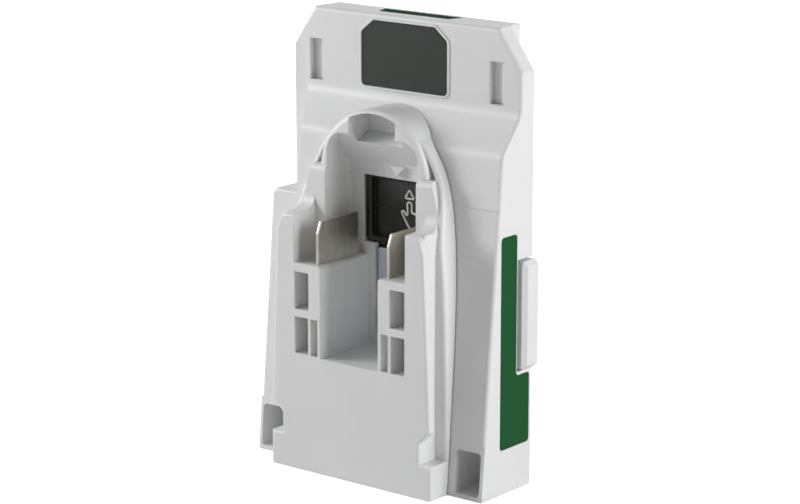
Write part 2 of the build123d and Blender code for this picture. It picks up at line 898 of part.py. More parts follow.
# Battery dock: the pale rail block in front of the lower face, with its skirt, dome and plug
flange_right = [
    (web_half_width, foot_height),
    (web_half_width, flange_chamfer_z - flange_chamfer),
    (flange_half_low - flange_end_z + flange_chamfer_z, flange_chamfer_z),
    (flange_half_low, flange_end_z),
    (flange_half_middle, flange_middle_z),
    (flange_half_upper, flange_upper_z),
    (flange_half_top, flange_top_z),
]
flange_outline = flange_right + [(-x, z) for x, z in reversed(flange_right)]
flange_rear_y = dock_front_y + flange_thickness
web_middle_z = (foot_height + flange_top_z) / 2
with BuildPart() as battery_dock:
    # Web, flange and foot
    with BuildSketch(plane_at(0)):
        with Locations((0, web_middle_z)):
            Rectangle(2 * web_half_width, flange_top_z - foot_height)
    extrude(amount=-flange_rear_y)
    with BuildSketch(plane_at(flange_rear_y)):
        Polygon(*flange_outline, align=None)
        fillet(vertices().sort_by(Axis.Y)[-2:], radius=flange_corner_radius)
    extrude(amount=flange_thickness)
    with BuildSketch(plane_at(0)):
        with Locations((0, foot_height / 2)):
            Rectangle(2 * foot_half_width, foot_height)
    extrude(amount=-dock_front_y)
    dock_rims = battery_dock.edges().filter_by(
        lambda e: close_to(e.center().Y, dock_front_y) and e.center().Z > gap
    )
    fillet(dock_rims, radius=dock_edge_radius)

    # The shoulders, base and dome behind it
    add(shoulders.part)
    add(dock_base.part)
    add(dome.part)

    # The housing behind, with its clearance, then the plug through it
    add(housing_body(-gap, overrun), mode=Mode.SUBTRACT)
    add(plug.part)

    # Hollow behind the foot of the rails
    core_top_z = bay_floor_z - wall
    core_bottom_z = plug_bottom_z + wall
    with BuildSketch(plane_at(back_rear_y)):
        with Locations((0, (core_top_z + core_bottom_z) / 2)):
            Rectangle(2 * post_outer_x, core_top_z - core_bottom_z)
    extrude(amount=back_rear_y - dock_front_y - wall, mode=Mode.SUBTRACT)

    # Room above the posts, with the whole width free in front of the shoulders
    add(mouth.part, mode=Mode.SUBTRACT)
    add(catch_slot.part, mode=Mode.SUBTRACT)
    with BuildSketch(plane_at(shoulder_front_y)):
        with Locations((0, post_top_z + overrun / 2)):
            Rectangle(2 * post_outer_x, overrun)
    extrude(amount=overrun, mode=Mode.SUBTRACT)

    # Bay between the posts
    bay_top_z = post_top_z + gap
    with BuildSketch(Plane.YZ):
        with Locations((back_wall_y - overrun / 2, (bay_floor_z + bay_top_z) / 2)):
            Rectangle(overrun, bay_top_z - bay_floor_z)
    extrude(amount=post_inner_x, both=True, mode=Mode.SUBTRACT)
    post_corners = battery_dock.edges().filter_by(Axis.Y).filter_by(
        lambda e: close_to(abs(e.center().X), post_inner_x) and close_to(e.center().Z, post_top_z)
    )
    fillet(post_corners, radius=post_edge_radius)

    # Compartments and blade slots in the fronts of the posts
    for side in (-1, 1):
        for inner_x, outer_x, low_z, high_z, depth in (
            (upper_cell_inner_x, upper_cell_outer_x, upper_cell_bottom_z, upper_cell_top_z, cell_depth),
            (lower_cell_inner_x, lower_cell_outer_x, lower_cell_bottom_z, lower_cell_top_z, cell_depth),
            (blade_slot_inner_x, blade_slot_outer_x, lower_cell_bottom_z, lower_cell_top_z, blade_slot_depth),
        ):
            with BuildSketch(plane_at(dock_front_y + depth)):
                with Locations((side * (inner_x + outer_x) / 2, (low_z + high_z) / 2)):
                    Rectangle(outer_x - inner_x, high_z - low_z)
            extrude(amount=overrun, mode=Mode.SUBTRACT)

    # Bed of each blade in its post, and of its tail through the back wall
    with BuildSketch(Plane.YZ.offset(-blade_x)):
        Polygon(*blade_points(blade_fit), align=None)
    extrude(amount=blade_thickness / 2 + blade_fit, both=True, mode=Mode.SUBTRACT)
    with BuildSketch(Plane.YZ.offset(blade_x)):
        Polygon(*blade_points(blade_fit), align=None)
    extrude(amount=blade_thickness / 2 + blade_fit, both=True, mode=Mode.SUBTRACT)

    # Window of the release slider and the slot below it
    with BuildSketch(plane_at(back_rear_y)):
        with Locations((0, (window_bottom_z + window_top_z) / 2)):
            Rectangle(2 * window_half_width, window_top_z - window_bottom_z)
        with Locations((0, (slot_bottom_z + window_bottom_z) / 2)):
            Rectangle(2 * slot_half_width, window_bottom_z - slot_bottom_z)
    extrude(amount=back_wall_thickness, mode=Mode.SUBTRACT)

    # Rails behind the back wall that guide the slider and hold its keeper
    with BuildSketch(plane_at(carriage_rear_y)):
        with Locations(*[(side * rail_middle_x, (rail_bottom_z + rail_top_z) / 2) for side in (-1, 1)]):
            Rectangle(rail_width, rail_top_z - rail_bottom_z)
    extrude(amount=carriage_rear_y - back_rear_y)
    with BuildSketch(plane_at(carriage_rear_y)):
        with Locations(*[(x, z) for x, y, z in keeper_screw_places]):
            Circle(screw_radius + screw_fit / 2)
    extrude(amount=keeper_screw_length - keeper_thickness + gap, mode=Mode.SUBTRACT)

    # Holes for the dock screws
    for hole_x, hole_y, hole_z in dock_screw_places:
        with BuildSketch(plane_at(hole_y)):
            with Locations((hole_x, hole_z)):
                Circle(screw_radius + screw_fit / 2)
        extrude(amount=dock_screw_length + gap, mode=Mode.SUBTRACT)
battery_dock.part.label = "battery_dock"
export_step(battery_dock.part, "parts/battery_dock.step")

# Terminal blades, one on each post, with a nose at the upper front and a tail for the lead
for side, blade_name in ((-1, "blade_negative"), (1, "blade_positive")):
    with BuildPart() as blade:
        with BuildSketch(Plane.YZ.offset(side * blade_x)):
            Polygon(*blade_points(0), align=None)
        extrude(amount=blade_thickness / 2, both=True)
        front_rims = blade.edges().filter_by(
            lambda e: e.center().Y < blade_front_y + blade_nose_depth
            and not close_to(e.center().X, side * blade_x)
        )
        chamfer(front_rims, length=blade_bevel)
    blade.part.label = blade_name
    export_step(blade.part, "parts/" + blade_name + ".step")

# Release slider: a dished black plate in the window, with a flange behind it and two spring lugs
with BuildPart() as release_slider:
    slider_middle_z = (slider_bottom_z + slider_top_z) / 2
    with BuildSketch(plane_at(slider_back_y)):
        with Locations((0, slider_middle_z)):
            Rectangle(2 * slider_half_width, slider_top_z - slider_bottom_z)
        fillet(vertices(), radius=slider_corner_radius)
    extrude(amount=slider_back_y - slider_front_y)
    with BuildSketch(plane_at(slider_front_y + slider_dish_depth)):
        with Locations((0, slider_middle_z)):
            Rectangle(2 * (slider_half_width - slider_rim), slider_top_z - slider_bottom_z - 2 * slider_sill)
        fillet(vertices(), radius=slider_corner_radius / 2)
    extrude(amount=overrun, mode=Mode.SUBTRACT)
    dish_rim = release_slider.edges().filter_by(lambda e: close_to(e.center().Y, slider_front_y))
    chamfer(dish_rim, length=slider_rim_bevel)
    slider_flange_height = slider_flange_top_z - slider_flange_bottom_z
    with BuildSketch(plane_at(slider_back_y)):
        with Locations((0, slider_flange_bottom_z + slider_flange_height / 2)):
            Rectangle(2 * (slider_half_width + slider_flange), slider_flange_height)
    extrude(amount=slider_back_y - back_rear_y - slide_gap)
    with BuildSketch(Plane.XY.offset(spring_seat_z)):
        for lug_x, lug_y in spring_places:
            with Locations((lug_x, (slider_back_y + lug_y + spring_radius + slide_gap) / 2)):
                Rectangle(2 * spring_radius + slide_gap, lug_y + spring_radius + slide_gap - slider_back_y)
    extrude(amount=-spring_lug_height)
    with BuildSketch(Plane.XY.offset(spring_seat_z)):
        with Locations(*spring_places):
            Circle(spring_pin_radius)
    extrude(amount=spring_pin_length)
    with BuildSketch(plane_at(slider_back_y)):
        with Locations(*[(x, z) for x, y, z in slider_screw_places]):
            Circle(screw_radius + screw_fit / 2)
    extrude(amount=slider_screw_length - carriage_thickness + screw_fit, mode=Mode.SUBTRACT)
release_slider.part.label = "release_slider"
export_step(release_slider.part, "parts/release_slider.step")

# Carriage: the metal plate behind the slot, with a raised pad in it and a cam slot on each side
with BuildPart() as carriage:
    with BuildSketch(plane_at(carriage_rear_y)):
        with Locations((0, (carriage_bottom_z + carriage_top_z) / 2)):
            Rectangle(2 * carriage_neck_half_width, carriage_top_z - carriage_bottom_z)
        with Locations((0, (carriage_wide_bottom_z + carriage_wide_top_z) / 2)):
            Rectangle(2 * carriage_half_width, carriage_wide_top_z - carriage_wide_bottom_z)
    extrude(amount=carriage_thickness)
    with BuildSketch(plane_at(slider_back_y)):
        with Locations((0, (carriage_pad_bottom_z + carriage_pad_top_z) / 2)):
            Rectangle(2 * carriage_pad_half_width, carriage_pad_top_z - carriage_pad_bottom_z)
        fillet(vertices(), radius=carriage_pad_radius)
    extrude(amount=slider_back_y - carriage_pad_front_y)
    pad_rim = carriage.edges().filter_by(lambda e: close_to(e.center().Y, carriage_pad_front_y))
    fillet(pad_rim, radius=carriage_pad_radius / 2)
    cam_turn = math.degrees(math.atan2(slider_travel, latch_travel))
    with BuildSketch(plane_at(carriage_rear_y)):
        for side in (-1, 1):
            with Locations((side * (cam_x - latch_travel / 2), cam_z - slider_travel / 2)):
                SlotCenterToCenter(
                    math.hypot(slider_travel, latch_travel),
                    2 * (cam_pin_radius + cam_fit),
                    rotation=side * cam_turn,
                )
    extrude(amount=overrun, mode=Mode.SUBTRACT)
    with BuildSketch(plane_at(carriage_rear_y)):
        with Locations(*[(x, z) for x, y, z in slider_screw_places]):
            Circle(screw_radius + screw_fit / 2)
    extrude(amount=carriage_thickness, mode=Mode.SUBTRACT)
carriage.part.label = "carriage"
export_step(carriage.part, "parts/carriage.step")

slider_screws = screw_group(slider_screw_places, slider_screw_length, 1)
slider_screws.label = "slider_screws"
export_step(slider_screws, "parts/slider_screws.step")

# Keeper: the bridge that holds the slider against the back wall
with BuildPart() as slider_keeper:
    with BuildSketch(plane_at(carriage_rear_y + keeper_thickness)):
        with Locations((0, keeper_middle_z)):
            Rectangle(2 * plug_half_high, keeper_height)
    extrude(amount=keeper_thickness)
    with BuildSketch(plane_at(carriage_rear_y)):
        keeper_pad_x = slider_half_width + slider_flange - keeper_pad_width / 2
        with Locations((-keeper_pad_x, keeper_middle_z), (keeper_pad_x, keeper_middle_z)):
            Rectangle(keeper_pad_width, keeper_height)
    extrude(amount=carriage_thickness - slide_gap)
    with BuildSketch(plane_at(carriage_rear_y + slide_gap)):
        with Locations((0, keeper_middle_z)):
            Rectangle(2 * (carriage_neck_half_width + slide_gap), keeper_height)
    extrude(amount=overrun, mode=Mode.SUBTRACT)
    with BuildSketch(plane_at(carriage_rear_y + keeper_thickness)):
        with Locations(*[(x, z) for x, y, z in keeper_screw_places]):
            Circle(screw_radius + screw_fit / 2)
    extrude(amount=overrun, mode=Mode.SUBTRACT)
slider_keeper.part.label = "slider_keeper"
export_step(slider_keeper.part, "parts/slider_keeper.step")

keeper_screws = screw_group(keeper_screw_places, keeper_screw_length, 1)
keeper_screws.label = "keeper_screws"
export_step(keeper_screws, "parts/keeper_screws.step")

# Springs that push the slider down, coiled around the pins of the lugs and of the stops
spring_length = spring_stop_z - spring_seat_z
for (coil_x, coil_y), spring_name in zip(spring_places, ("slider_spring_left", "slider_spring_right")):
    with BuildPart() as spring:
        coil_height = spring_length - spring_wire - 2 * spring_end_gap
        with BuildLine():
            coil = Helix(
                pitch=coil_height / spring_turns,
                height=coil_height,
                radius=spring_radius,
                center=(coil_x, coil_y, spring_seat_z + spring_end_gap + spring_wire / 2),
            )
        with BuildSketch(Plane(origin=coil @ 0, z_dir=coil % 0)):
            Circle(spring_wire / 2)
        sweep()
    spring.part.label = spring_name
    export_step(spring.part, "parts/" + spring_name + ".step")

# Latch bars: a bevelled pad through each side wall on an arm with a cam pin
for side, latch_name in ((-1, "latch_bar_left"), (1, "latch_bar_right")):
    with BuildPart() as latch:
        pad_outer_x = half_width + latch_proud
        with BuildSketch(Plane.YZ.offset(side * latch_inner_x)):
            with Locations((latch_front_y + latch_width / 2, latch_middle_z)):
                Rectangle(latch_width, latch_height)
            fillet(vertices().sort_by(Axis.X)[:2], radius=latch_edge_radius)
        extrude(amount=side * (pad_outer_x - latch_inner_x))
        outer_rims = latch.edges().filter_by(
            lambda e: close_to(e.center().X, side * pad_outer_x) and e.center().Y < rim_y - gap
        )
        chamfer(outer_rims, length=latch_edge_radius)
        with BuildSketch(plane_at(arm_rear_y)):
            with Locations((side * (latch_arm_inner_x + latch_inner_x + latch_arm_root) / 2, cam_z)):
                Rectangle(latch_inner_x + latch_arm_root - latch_arm_inner_x, latch_arm_height)
        extrude(amount=latch_arm_thickness)
        with BuildSketch(plane_at(arm_front_y)):
            with Locations((side * cam_x, cam_z)):
                Circle(cam_pin_radius)
        extrude(amount=arm_front_y - slider_back_y)
    latch.part.label = latch_name
    export_step(latch.part, "parts/" + latch_name + ".step")

housing_screws = screw_group(housing_screw_places, housing_screw_length, 1)
housing_screws.label = "housing_screws"
export_step(housing_screws, "parts/housing_screws.step")

dock_screws = screw_group(dock_screw_places, dock_screw_length, 1)
dock_screws.label = "dock_screws"
export_step(dock_screws, "parts/dock_screws.step")

# Circuit board with its fuse and two power transistors
board_middle_z = board_bottom_z + board_height / 2
with BuildPart() as circuit_board:
    with BuildSketch(plane_at(board_y + board_thickness)):
        with Locations((0, board_middle_z)):
            Rectangle(board_width, board_height)
        fillet(vertices(), radius=board_corner_radius)
        with Locations(*board_screw_spots):
            Circle(screw_radius + screw_fit / 2, mode=Mode.SUBTRACT)
    extrude(amount=board_thickness)
circuit_board.part.label = "circuit_board"
export_step(circuit_board.part, "parts/circuit_board.step")

board_screws = screw_group([(x, board_y, z) for x, z in board_screw_spots], board_screw_length, -1)
board_screws.label = "board_screws"
export_step(board_screws, "parts/board_screws.step")

with BuildPart() as fuse:
    with BuildSketch(plane_at(board_y)):
        with Locations((0, fuse_z)):
            Rectangle(fuse_width, fuse_height)
        fillet(vertices(), radius=part_corner_radius)
    extrude(amount=fuse_depth)
    fuse_rims = fuse.edges().filter_by(lambda e: close_to(e.center().Y, board_y - fuse_depth))
    fillet(fuse_rims, radius=part_corner_radius)
fuse.part.label = "fuse"
export_step(fuse.part, "parts/fuse.step")

with BuildPart() as transistors:
    with BuildSketch(plane_at(board_y)):
        with Locations(*[(side * transistor_x, transistor_z) for side in (-1, 1)]):
            Rectangle(transistor_width, transistor_height)
    extrude(amount=transistor_depth)
    tops = transistors.edges().filter_by(lambda e: close_to(e.center().Y, board_y - transistor_depth))
    chamfer(tops, length=part_corner_radius)
transistors.part.label = "transistors"
export_step(transistors.part, "parts/transistors.step")

# Contact block in the window of the plinth
nose_rear_y = plinth_inner_y + block_nose
block_middle_z = block_bottom_z + block_height / 2
contact_places = [(-contact_pitch, block_middle_z), (0, block_middle_z), (contact_pitch, block_middle_z)]
contact_rear_y = plinth_rear_y - plinth_inner_clear
contact_front_y = contact_rear_y - contact_thickness
with BuildPart() as contact_block:
    with BuildSketch(plane_at(plinth_inner_y)):
        with Locations((0, block_middle_z)):
            Rectangle(2 * block_flange_half_width, block_height + 2 * block_flange_margin)
        fillet(vertices(), radius=part_corner_radius)
    extrude(amount=plinth_inner_y - block_front_y)
    with BuildSketch(plane_at(nose_rear_y)):
        with Locations((0, block_middle_z)):
            Rectangle(2 * (block_half_width - block_fit), block_height - 2 * block_fit)
    extrude(amount=block_nose)
    with BuildSketch(plane_at(nose_rear_y)):
        with Locations(*contact_places):
            Rectangle(contact_width + 2 * contact_fit, contact_height + 2 * contact_fit)
    extrude(amount=nose_rear_y - contact_front_y + contact_fit, mode=Mode.SUBTRACT)
    with BuildSketch(plane_at(nose_rear_y)):
        with Locations(*contact_places):
            Rectangle(contact_tail_width + 2 * contact_fit, contact_thickness + 2 * contact_fit)
    extrude(amount=nose_rear_y - contact_front_y + contact_tail + contact_fit, mode=Mode.SUBTRACT)
    with BuildSketch(plane_at(plinth_inner_y)):
        with Locations(*block_screw_spots):
            Circle(screw_radius + screw_fit / 2)
    extrude(amount=overrun, mode=Mode.SUBTRACT)
contact_block.part.label = "contact_block"
export_step(contact_block.part, "parts/contact_block.step")

block_screws = screw_group([(x, block_front_y, z) for x, z in block_screw_spots], block_screw_length, -1)
block_screws.label = "block_screws"
export_step(block_screws, "parts/block_screws.step")

contact_names = ("rear_contact_negative", "rear_contact_signal", "rear_contact_positive")
for (contact_x, contact_z), contact_name in zip(contact_places, contact_names):
    with BuildPart() as contact:
        with BuildSketch(plane_at(contact_rear_y)):
            with Locations((contact_x, contact_z)):
                Rectangle(contact_width, contact_height)
            fillet(vertices(), radius=contact_thickness / 2)
        extrude(amount=contact_thickness)
        face_rim = contact.edges().filter_by(lambda e: close_to(e.center().Y, contact_rear_y))
        fillet(face_rim, radius=contact_thickness / 3)
        with BuildSketch(plane_at(contact_front_y)):
            with Locations((contact_x, contact_z)):
                Rectangle(contact_tail_width, contact_thickness)
        extrude(amount=contact_tail)
    contact.part.label = contact_name
    export_step(contact.part, "parts/" + contact_name + ".step")


def lead(points, bends):
    """Insulated wire along a route with a bend of its own radius at each corner."""
    with BuildPart() as wire:
        with BuildLine():
            route = FilletPolyline(*points, radius=bends)
        with BuildSketch(Plane(origin=route @ 0, z_dir=route % 0)):
            Circle(lead_diameter / 2)
        sweep(path=route)
    full_volume = math.pi * lead_diameter**2 / 4 * route.length
    print("lead radii", bends, "volume over section times length", wire.part.volume / full_volume)
    return wire.part


# Leads from the blade tails up to the board
board_edge_z = board_bottom_z - lead_fit
for side, lead_name in ((-1, "lead_negative"), (1, "lead_positive")):
    lead_part = lead(
        [
            (side * blade_x, blade_tail_rear_y + lead_fit, lead_tail_z),
            (side * blade_x, lead_y, lead_tail_z),
            (side * lead_board_x, lead_y, lead_turn_z),
            (side * lead_board_x, lead_y, board_edge_z),
        ],
        [lead_bend, lead_sweep],
    )
    lead_part.label = lead_name
    export_step(lead_part, "parts/" + lead_name + ".step")

# Leads from the board down to the contact block
block_top_z = block_bottom_z + block_height + block_flange_margin + lead_fit
output_lead_names = ("output_lead_negative", "output_lead_signal", "output_lead_positive")
for (end_x, end_z), start_share, lead_name in zip(contact_places, (-1, 0, 1), output_lead_names):
    lead_part = lead(
        [
            (start_share * output_lead_x, lead_y, board_edge_z),
            (start_share * output_lead_x, lead_y, output_lead_high_z),
            (end_x, output_lead_y, output_lead_low_z),
            (end_x, output_lead_y, block_top_z),
        ],
        [lead_sweep, lead_sweep],
    )
    lead_part.label = lead_name
    export_step(lead_part, "parts/" + lead_name + ".step")

# Labels in their beds
with BuildPart() as front_label:
    with BuildSketch(plane_at(label_thickness)):
        Polygon(*front_label_points, align=None)
        fillet(vertices(), radius=front_label_corner)
        offset(amount=-label_edge)
    extrude(amount=label_thickness)
front_label.part.label = "front_label"
export_step(front_label.part, "parts/front_label.step")

with BuildPart() as top_label:
    with BuildSketch(Plane.XY.offset(housing_height - label_thickness)):
        Polygon(*top_label_points, align=None)
        offset(amount=-label_edge, kind=Kind.INTERSECTION)
    extrude(amount=label_thickness)
top_label.part.label = "top_label"
export_step(top_label.part, "parts/top_label.step")

for side, label_name in ((-1, "side_label_left"), (1, "side_label_right")):
    with BuildPart() as side_label:
        with BuildSketch(Plane.YZ.offset(side * (half_width - label_thickness))):
            Polygon(*side_label_points, align=None)
            fillet(vertices(), radius=side_label_corner)
            offset(amount=-label_edge)
        extrude(amount=side * label_thickness)
    side_label.part.label = label_name
    export_step(side_label.part, "parts/" + label_name + ".step")
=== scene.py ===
import bpy
import math
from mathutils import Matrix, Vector


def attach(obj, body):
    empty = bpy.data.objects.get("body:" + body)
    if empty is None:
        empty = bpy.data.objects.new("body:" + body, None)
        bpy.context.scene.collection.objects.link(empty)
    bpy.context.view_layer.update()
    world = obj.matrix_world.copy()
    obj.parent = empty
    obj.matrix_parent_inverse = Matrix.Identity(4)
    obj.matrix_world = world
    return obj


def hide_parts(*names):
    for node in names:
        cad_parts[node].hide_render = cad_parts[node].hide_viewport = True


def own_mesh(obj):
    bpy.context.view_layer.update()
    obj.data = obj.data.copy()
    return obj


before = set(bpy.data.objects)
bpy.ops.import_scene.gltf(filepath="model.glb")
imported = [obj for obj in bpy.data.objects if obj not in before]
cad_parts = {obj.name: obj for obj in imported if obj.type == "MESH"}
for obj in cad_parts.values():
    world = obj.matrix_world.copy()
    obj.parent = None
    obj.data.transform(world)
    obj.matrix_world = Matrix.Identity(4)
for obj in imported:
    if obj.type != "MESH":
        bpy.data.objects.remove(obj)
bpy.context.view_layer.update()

MM = 0.001

# Camera: turned to the right of the front and looking down a little
CAMERA_AZIMUTH = math.radians(38.53)
CAMERA_ELEVATION = math.radians(13.61)
CAMERA_DISTANCE = 840.86 * MM
CAMERA_LENS = 123.98
CAMERA_SENSOR = 36.0
CAMERA_NEAREST = 10.0 * MM
TARGET_ACROSS = -1.24 * MM
TARGET_HEIGHT = 66.62 * MM

# Studio: a white surround, a strong soft light near the left and weaker ones around
SKY_LEVEL = 0.05
FLOOR_GLOW = 0.88
FLOOR_GREY = 0.86
FLOOR_ROUGHNESS = 0.9
FLOOR_REACH = 3000.0 * MM
FLOOR_HEIGHT = -0.3 * MM

# Soft lights: place and size in metres, power in watts
LAMPS = {
    "key_left": ((-0.75, -0.42, 0.40), 0.40, 5.8),
    "near_left": ((-0.42, -0.50, 0.45), 0.40, 0.7),
    "side_right": ((0.90, 0.05, 0.35), 0.50, 6.5),
    "rear_fill": ((-0.20, 1.10, 0.55), 0.60, 4.0),
}

# Sign on the release slider: a plain arrow above a pointing finger, both in outline
SIGN_X = 3.25 * MM
SIGN_FLOOR_Y = -1.35 * MM
ARROW_TOP = 86.7 * MM
ARROW_FOOT = 83.9 * MM
ARROW_HALF_WIDTH = 1.8 * MM
FINGER_TOP = 82.9 * MM
HAND_WIDTH = 8.0 * MM
HAND_FOOT = 74.2 * MM
BEAD_RADIUS = 0.3 * MM
BEAD_CORNER = 0.35 * MM
BEAD_SIDES = 12
BEAD_CORNER_POINTS = 4

# Return springs between the lugs of the slider and the stops of the housing
SPRING_X = 9.0 * MM
SPRING_Y = 2.6 * MM
SPRING_SEAT = 96.6 * MM
SPRING_STOP = 110.0 * MM
SPRING_END_GAP = 0.05 * MM
SPRING_RADIUS = 1.7 * MM
SPRING_WIRE_RADIUS = 0.25 * MM
SPRING_TURNS = 8
SPRING_TURN_POINTS = 24
SPRING_WIRE_SIDES = 10

# Corners of the hand, as shares of its width from the finger's middle and of its height
HAND_SHARES = [
    (-0.11, 0.95),
    (-0.02, 1.00),
    (0.10, 0.95),
    (0.11, 0.62),
    (0.30, 0.60),
    (0.33, 0.55),
    (0.52, 0.53),
    (0.62, 0.40),
    (0.60, 0.20),
    (0.50, 0.00),
    (0.12, 0.00),
    (-0.03, 0.09),
    (-0.24, 0.38),
    (-0.39, 0.60),
    (-0.34, 0.66),
    (-0.26, 0.64),
    (-0.09, 0.42),
]

# Patterns of the surfaces: scale in 1/metres, detail, roughness
CLOUDS = (55.0, 3.0, 0.5)
GRAIN = (5200.0, 2.0, 0.5)
RUBS = (240.0, 5.0, 0.7)
STREAKS = (900.0, 3.0, 0.5)
STAINS = (180.0, 4.0, 0.65)
MOTTLE = (1500.0, 4.0, 0.7)
ORANGE_PEEL = (700.0, 1.0, 0.5)
DIE_LINES = (1600.0, 2.0, 0.5)
LACQUER = (600.0, 2.0, 0.5)
TRACK_LANES = 120.0
TRACK_BENDS = 1.5

# Part of the noise's range that patterns are stretched from
NOISE_LOW = 0.3
NOISE_HIGH = 0.7

# Sockets of the colour mixer
FIRST_COLOUR = 6
SECOND_COLOUR = 7
MIXED_COLOUR = 2

# Moulded plastic
MOULDED_EDGE = 0.3 * MM
GRAIN_DEPTH = 0.02 * MM
GRAIN_STRENGTH = 0.3
GRAIN_TINT = 0.25
GRAIN_SHADE = 0.93
RUB_SWING = 0.06

# Metal
METAL_EDGE = 0.2 * MM
STREAK_DEPTH = 0.01 * MM
STREAK_STRENGTH = 0.12
STREAK_TINT = 0.2
STREAK_SHADE = 0.8
STREAK_SMOOTHEST = -0.05
STREAK_ROUGHEST = 0.07
ALONG_SHEET = (1.0, 1.0, 0.06)
ALONG_PLATE = (1.0, 1.0, 0.08)
ACROSS_SCREW = (0.1, 1.0, 1.0)
EVEN = (1.0, 1.0, 1.0)

# Label film
FILM_EDGE = 0.1 * MM
PEEL_DEPTH = 0.02 * MM
PEEL_STRENGTH = 0.12
MOTTLE_SWING = 0.05

# Wire insulation and board lacquer
DIE_LINE_DEPTH = 0.02 * MM
DIE_LINE_STRENGTH = 0.1
DIE_LINE_SHADE = 0.8
INSULATION_SMOOTHEST = 0.32
INSULATION_ROUGHEST = 0.45
TRACK_DEPTH = 0.03 * MM
TRACK_STRENGTH = 0.3
LANE_LOW = 0.45
LANE_HIGH = 0.55
LACQUER_SMOOTHEST = 0.25
LACQUER_ROUGHEST = 0.4
PLAIN_GLOSS = 0.5
BEVEL_SAMPLES = 4


class Shader:
    """A material under construction, with its node tree and a few joining helpers."""

    def __init__(self, name):
        self.material = bpy.data.materials.new(name)
        self.material.use_nodes = True
        self.nodes = self.material.node_tree.nodes
        self.links = self.material.node_tree.links
        self.surface = self.nodes["Principled BSDF"]
        self.place = self.nodes.new("ShaderNodeTexCoord").outputs["Object"]

    def mapped(self, scale):
        """Object coordinates stretched by three factors."""
        node = self.nodes.new("ShaderNodeMapping")
        node.inputs["Scale"].default_value = scale
        self.links.new(self.place, node.inputs["Vector"])
        return node.outputs["Vector"]

    def noise(self, scale, detail, rough, vector=None):
        """Noise on the object's own coordinates, or on stretched ones."""
        node = self.nodes.new("ShaderNodeTexNoise")
        node.inputs["Scale"].default_value = scale
        node.inputs["Detail"].default_value = detail
        node.inputs["Roughness"].default_value = rough
        self.links.new(vector or self.place, node.inputs["Vector"])
        return node.outputs["Fac"]

    def spread(self, value, low, high, start=NOISE_LOW, end=NOISE_HIGH):
        """A value from start..end stretched to low..high."""
        node = self.nodes.new("ShaderNodeMapRange")
        node.inputs["From Min"].default_value = start
        node.inputs["From Max"].default_value = end
        node.inputs["To Min"].default_value = low
        node.inputs["To Max"].default_value = high
        self.links.new(value, node.inputs["Value"])
        return node.outputs["Result"]

    def blend(self, factor, first, second):
        """Two colours mixed by a factor."""
        node = self.nodes.new("ShaderNodeMix")
        node.data_type = "RGBA"
        self.links.new(factor, node.inputs["Factor"])
        for socket, value in ((node.inputs[FIRST_COLOUR], first), (node.inputs[SECOND_COLOUR], second)):
            if isinstance(value, tuple):
                socket.default_value = (*value, 1.0)
            else:
                self.links.new(value, socket)
        return node.outputs[MIXED_COLOUR]

    def rounded(self, radius):
        """Normal that rounds sharp edges in shading."""
        node = self.nodes.new("ShaderNodeBevel")
        node.samples = BEVEL_SAMPLES
        node.inputs["Radius"].default_value = radius
        return node.outputs["Normal"]

    def bump(self, height, strength, distance, normal=None):
        """Fine relief from a height."""
        node = self.nodes.new("ShaderNodeBump")
        node.inputs["Strength"].default_value = strength
        node.inputs["Distance"].default_value = distance
        self.links.new(height, node.inputs["Height"])
        if normal:
            self.links.new(normal, node.inputs["Normal"])
        return node.outputs["Normal"]

    def finish(self, colour, rough, normal, **fixed):
        """Joins colour, roughness and normal to the surface and sets its plain sockets."""
        self.links.new(colour, self.surface.inputs["Base Color"])
        self.links.new(rough, self.surface.inputs["Roughness"])
        self.links.new(normal, self.surface.inputs["Normal"])
        for socket, value in fixed.items():
            self.surface.inputs[socket.replace("_", " ")].default_value = value
        return self.material


def darkened(colour, share):
    """A colour at a share of its lightness."""
    return tuple(c * share for c in colour)


def moulded(name, colour, shade, rough, edge=MOULDED_EDGE, gloss=PLAIN_GLOSS):
    """Spark-eroded moulded plastic: fine grain, faint flow clouds and rubbed patches."""
    s = Shader(name)
    clouds = s.noise(*CLOUDS)
    specks = s.noise(*GRAIN)
    rubs = s.noise(*RUBS)
    tint = s.blend(s.spread(clouds, 0.0, 1.0), colour, shade)
    tint = s.blend(s.spread(specks, 0.0, GRAIN_TINT), tint, darkened(colour, GRAIN_SHADE))
    sheen = s.spread(rubs, rough - RUB_SWING, rough + RUB_SWING)
    relief = s.bump(specks, GRAIN_STRENGTH, GRAIN_DEPTH, s.rounded(edge))
    return s.finish(tint, sheen, relief, Specular_IOR_Level=gloss)


def rolled_metal(name, colour, shade, rough, stretch):
    """Rolled or drawn metal: fine streaks along one way and small stains."""
    s = Shader(name)
    streaks = s.noise(*STREAKS, s.mapped(stretch))
    stains = s.noise(*STAINS)
    tint = s.blend(s.spread(stains, 0.0, 1.0), colour, shade)
    tint = s.blend(s.spread(streaks, 0.0, STREAK_TINT), tint, darkened(colour, STREAK_SHADE))
    sheen = s.spread(streaks, rough + STREAK_SMOOTHEST, rough + STREAK_ROUGHEST)
    relief = s.bump(streaks, STREAK_STRENGTH, STREAK_DEPTH, s.rounded(METAL_EDGE))
    return s.finish(tint, sheen, relief, Metallic=1.0)


def printed_film(name, colour, shade, rough, gloss):
    """Printed label film: even ink with a fine mottle and a faint orange-peel gloss."""
    s = Shader(name)
    mottle = s.noise(*MOTTLE)
    peel = s.noise(*ORANGE_PEEL)
    tint = s.blend(s.spread(mottle, 0.0, 1.0), colour, shade)
    sheen = s.spread(mottle, rough - MOTTLE_SWING, rough + MOTTLE_SWING)
    relief = s.bump(peel, PEEL_STRENGTH, PEEL_DEPTH, s.rounded(FILM_EDGE))
    return s.finish(tint, sheen, relief, Specular_IOR_Level=gloss)


